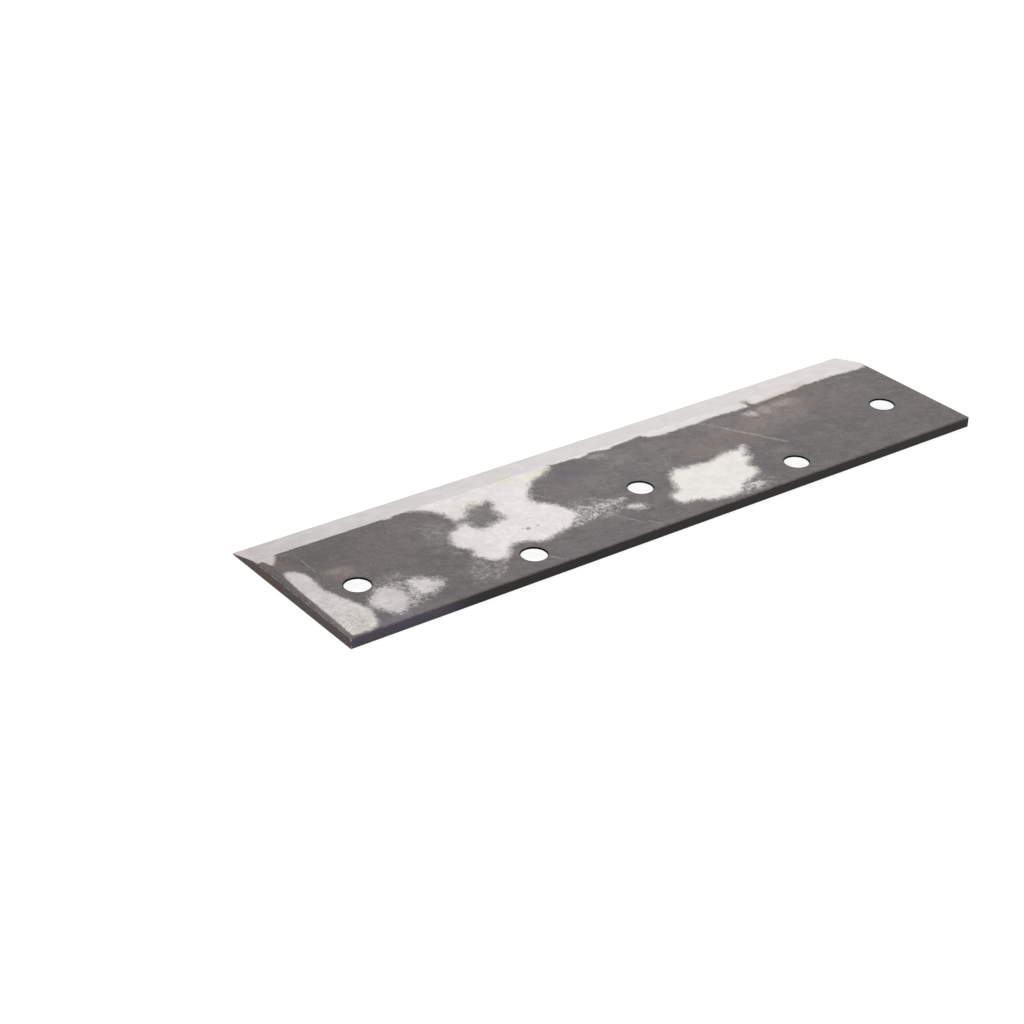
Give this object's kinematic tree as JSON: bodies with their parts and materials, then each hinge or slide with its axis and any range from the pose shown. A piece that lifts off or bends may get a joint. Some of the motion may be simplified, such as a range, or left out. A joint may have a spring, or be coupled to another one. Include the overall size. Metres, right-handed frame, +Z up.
{
  "type": "silage cutter knife",
  "caption": "Flat steel blade with a long bevelled cutting edge and staggered rows of bolt holes, for a silage cutter.",
  "frame": {"origin": "centre of the flat underside's bounding box, on the surface the blade lies on", "axes": "+X along the blade, +Y across it towards the cutting edge, +Z up from the flat underside to the bevelled face"},
  "size_m": [0.42, 0.11, 0.006],
  "materials": {
    "blade_steel": "dark mill scale, ground bright on the bevel and worn through to bare steel in patches"
  },
  "bodies": {
    "root": {"cutter_blade": "blade_steel"}
  },
  "joints": []
}
